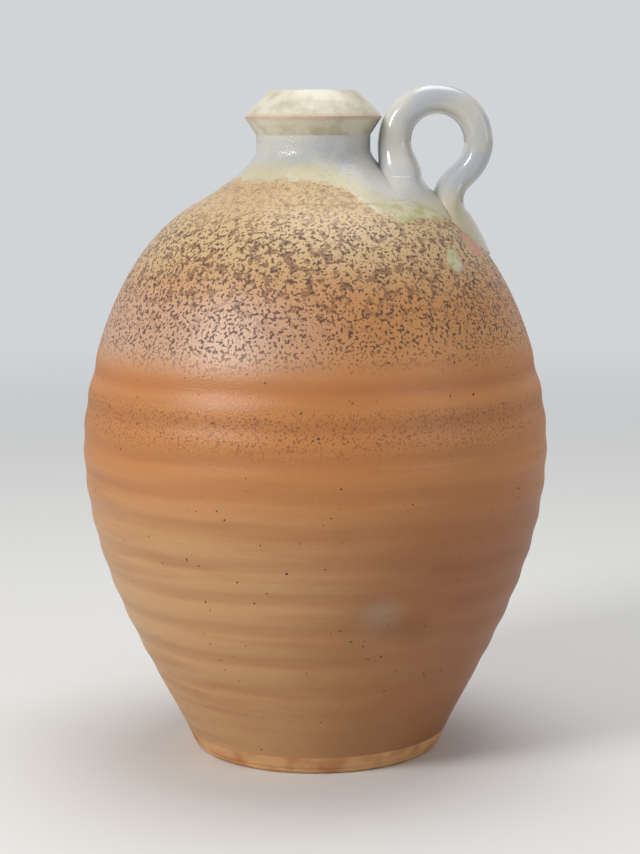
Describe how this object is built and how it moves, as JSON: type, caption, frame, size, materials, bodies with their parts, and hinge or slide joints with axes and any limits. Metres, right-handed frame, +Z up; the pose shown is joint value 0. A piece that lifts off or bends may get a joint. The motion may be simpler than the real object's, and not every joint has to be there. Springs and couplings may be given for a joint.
{
  "type": "stoneware bottle",
  "caption": "Wheel-thrown ovoid stoneware bottle with a bevelled collar mouth and a pulled finger loop on the shoulder, open inside for liquid.",
  "frame": {"origin": "centre of the foot where the bottle stands", "axes": "+Z up through the mouth, +X towards the finger loop, -Y towards the viewer of the picture"},
  "size_m": [0.176, 0.176, 0.2511],
  "materials": {
    "bare_clay": "dry unglazed stoneware, slightly gritty",
    "flashed_clay": "wood-fired satin surface with ash speckle on the shoulder",
    "white_glaze": "glossy white to blue-grey glaze",
    "cream_glaze": "satin cream glaze with fine brown specks"
  },
  "bodies": {
    "root": {"foot": "bare_clay", "body": "flashed_clay", "neck": "white_glaze", "collar": "cream_glaze", "handle": "white_glaze", "handle_root": "white_glaze"}
  },
  "joints": []
}
